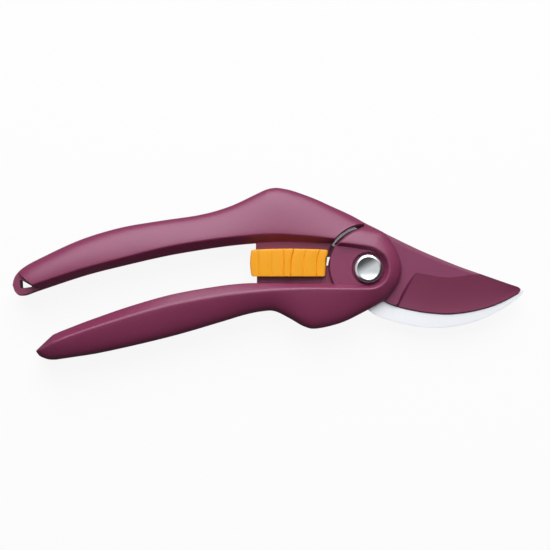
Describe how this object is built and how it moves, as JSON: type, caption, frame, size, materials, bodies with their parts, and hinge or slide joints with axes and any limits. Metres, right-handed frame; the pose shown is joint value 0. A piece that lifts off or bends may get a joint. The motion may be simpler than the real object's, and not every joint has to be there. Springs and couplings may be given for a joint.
{
  "type": "bypass pruner",
  "caption": "One-hand bypass pruner with curved moulded handles, a coated cutting blade over a steel hook blade, and a sliding thumb lock between the handles.",
  "frame": {"origin": "on the pivot axis, at the centre of the pivot sleeve's round back face, which is flush with the plane the pruner lies on", "axes": "+X along the tool towards the blade tips, +Y towards the upper handle, +Z along the pivot axis from the back to the front face"},
  "size_m": [0.2037, 0.0689, 0.017],
  "materials": {
    "plum_moulding": "satin moulded glass-filled polyamide, plum",
    "coated_steel": "satin low-friction coating, plum",
    "bare_steel": "fine ground steel",
    "bright_steel": "turned and polished steel",
    "spring_steel": "drawn spring wire",
    "orange_plastic": "satin moulded acetal, orange"
  },
  "bodies": {
    "upper_half": {"upper_handle": "plum_moulding", "hook_blade": "bare_steel", "pivot_sleeve": "bright_steel", "pivot_bolt": "bright_steel", "front_washer": "bright_steel", "blade_washer": "bright_steel", "rear_washer": "bright_steel", "return_spring": "spring_steel"},
    "lower_half": {"lower_handle": "plum_moulding", "cutting_blade": "coated_steel"},
    "lock": {"lock_carriage": "orange_plastic", "lock_button_front": "orange_plastic", "lock_button_rear": "orange_plastic", "lock_detent_spring": "spring_steel"}
  },
  "joints": [
    {"name": "pivot", "type": "hinge", "parent": "upper_half", "child": "lower_half", "pos_m": [0, 0, 0.0085], "axis": [0, 0, 1], "range_deg": [0, 35], "deforming": ["return_spring"]},
    {"name": "lock_slide", "type": "slide", "parent": "upper_half", "child": "lock", "axis": [-1, 0, 0], "range_m": [0, 0.009], "deforming": ["lock_detent_spring"]}
  ]
}
